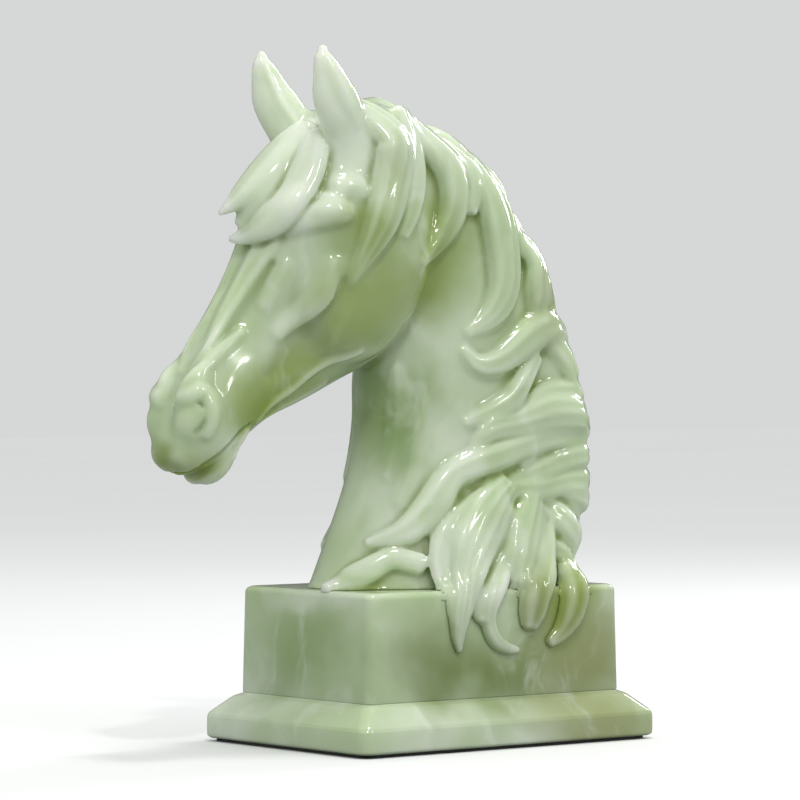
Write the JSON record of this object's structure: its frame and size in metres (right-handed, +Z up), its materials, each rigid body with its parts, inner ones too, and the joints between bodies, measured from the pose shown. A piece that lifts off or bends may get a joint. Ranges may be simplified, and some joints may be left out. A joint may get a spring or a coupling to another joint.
{
  "type": "horse head bust figurine",
  "caption": "Carved jade horse head and neck with flowing mane, on a rectangular plinth with a stepped foot.",
  "frame": {"origin": "centre of the felt pad's underside, on the table", "axes": "+Z up; the horse faces -X, along the plinth's length; its left side is -Y"},
  "size_m": [0.196, 0.0994, 0.2569],
  "materials": {
    "jade": "polished, translucent pale green with milky white clouds",
    "felt": "black felt",
    "steel": "plain pin steel"
  },
  "bodies": {
    "root": {"horse_bust": "jade", "plinth_block": "jade", "base_moulding": "jade", "felt_pad": "felt", "bust_dowel_front": "steel", "bust_dowel_rear": "steel", "foot_dowel_front": "steel", "foot_dowel_rear": "steel"}
  },
  "joints": []
}
